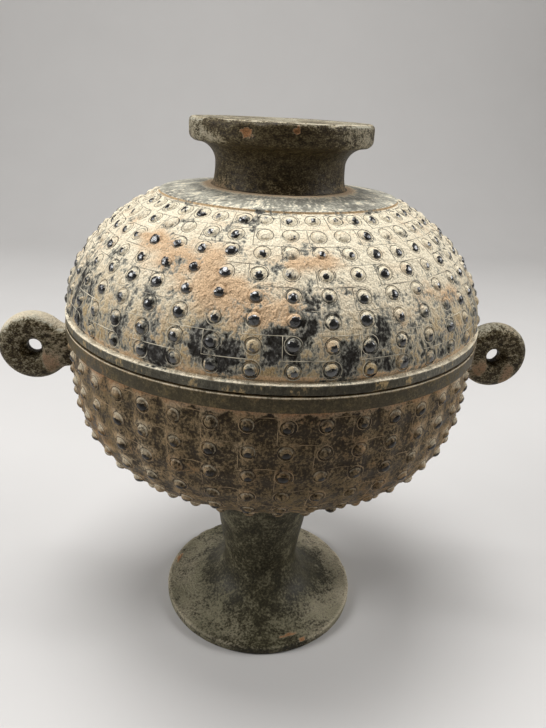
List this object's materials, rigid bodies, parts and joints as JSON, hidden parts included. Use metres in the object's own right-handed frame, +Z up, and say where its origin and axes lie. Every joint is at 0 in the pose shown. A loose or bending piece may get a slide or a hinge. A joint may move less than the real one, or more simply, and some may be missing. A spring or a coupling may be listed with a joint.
{
  "type": "covered stem bowl",
  "caption": "Covered stone stem bowl: bossed round bowl on a waisted stem and trumpet foot, fixed ring handles, and a bossed domed lid with a spool knob that lifts straight off.",
  "frame": {"origin": "centre of the ring under the foot, on the surface that the vessel stands on", "axes": "+Z up along the vessel's axis, +X through the right ring handle, -Y towards the front"},
  "size_m": [0.2768, 0.2026, 0.27],
  "materials": {
    "bare_stone": "ground and rubbed dark green-grey stone, mottled, with a thin film of earth",
    "bowl_stone": "carved dark stone, browned, with earth in the carving and bosses rubbed bare",
    "lid_stone": "carved dark stone under a cream and tan crust of dried earth, bosses rubbed bare"
  },
  "bodies": {
    "vessel": {"pedestal_foot": "bare_stone", "bowl": "bowl_stone", "left_ring_handle": "bare_stone", "right_ring_handle": "bare_stone"},
    "lid": {"lid_dome": "lid_stone", "lid_knob": "bare_stone"}
  },
  "joints": [
    {"name": "lid_lift", "type": "slide", "parent": "vessel", "child": "lid", "axis": [0, 0, 1], "range_m": [0, 0.12]}
  ]
}
